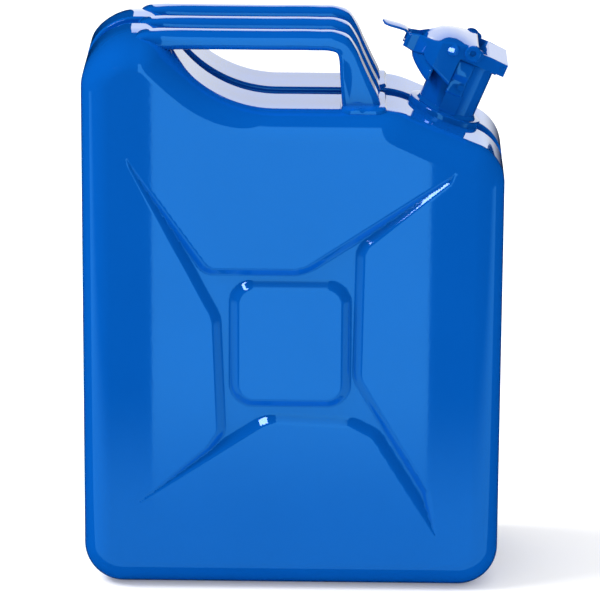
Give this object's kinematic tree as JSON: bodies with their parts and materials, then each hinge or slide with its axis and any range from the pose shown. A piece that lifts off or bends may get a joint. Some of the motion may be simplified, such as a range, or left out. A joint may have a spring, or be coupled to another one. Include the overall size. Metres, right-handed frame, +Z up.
{
  "type": "jerry can",
  "caption": "Upright pressed-steel fuel can with a cross-pressed face, three parallel handles, a leaning filler neck and a hinged lid held by a cam lever.",
  "frame": {"origin": "centre of the base, on the surface the can stands on", "axes": "+Z up, +X towards the filler neck, -Y towards the front face"},
  "size_m": [0.3471, 0.165, 0.4708],
  "materials": {
    "body_paint": "high-gloss enamel",
    "closure_paint": "high-gloss enamel over stamped steel",
    "pin_steel": "zinc plated",
    "mouth_steel": "gloss enamel",
    "seal_rubber": "matte"
  },
  "bodies": {
    "can": {"shell_front": "body_paint", "shell_rear": "body_paint", "seam_weld": "body_paint", "handle_front": "body_paint", "handle_middle": "body_paint", "handle_rear": "body_paint", "handle_foot_front": "body_paint", "handle_foot_rear": "body_paint", "filler_neck": "closure_paint", "neck_collar": "closure_paint", "mouth_ring": "mouth_steel", "breather_tube": "pin_steel", "neck_strap_near": "closure_paint", "neck_strap_far": "closure_paint", "strap_base_near": "closure_paint", "strap_base_far": "closure_paint", "strap_rivet_near": "closure_paint", "strap_rivet_far": "closure_paint", "hinge_lug": "closure_paint", "hinge_pin": "closure_paint"},
    "lid": {"lid_yoke": "closure_paint", "lid_disc": "closure_paint", "gasket": "seal_rubber", "gasket_retainer": "pin_steel", "retainer_rivet": "closure_paint", "lever_pivot_near": "closure_paint", "lever_pivot_far": "closure_paint", "pivot_washer_near": "pin_steel", "pivot_washer_far": "pin_steel"},
    "lever": {"cam_lever": "closure_paint"}
  },
  "joints": [
    {"name": "lid_hinge", "type": "hinge", "parent": "can", "child": "lid", "pos_m": [0.17, 0, 0.43482], "axis": [0, 1, 0], "range_deg": [0, 105]},
    {"name": "lever_pivot", "type": "hinge", "parent": "lid", "child": "lever", "pos_m": [0.14547, 0, 0.44877], "axis": [0, 1, 0], "range_deg": [0, 80]}
  ]
}
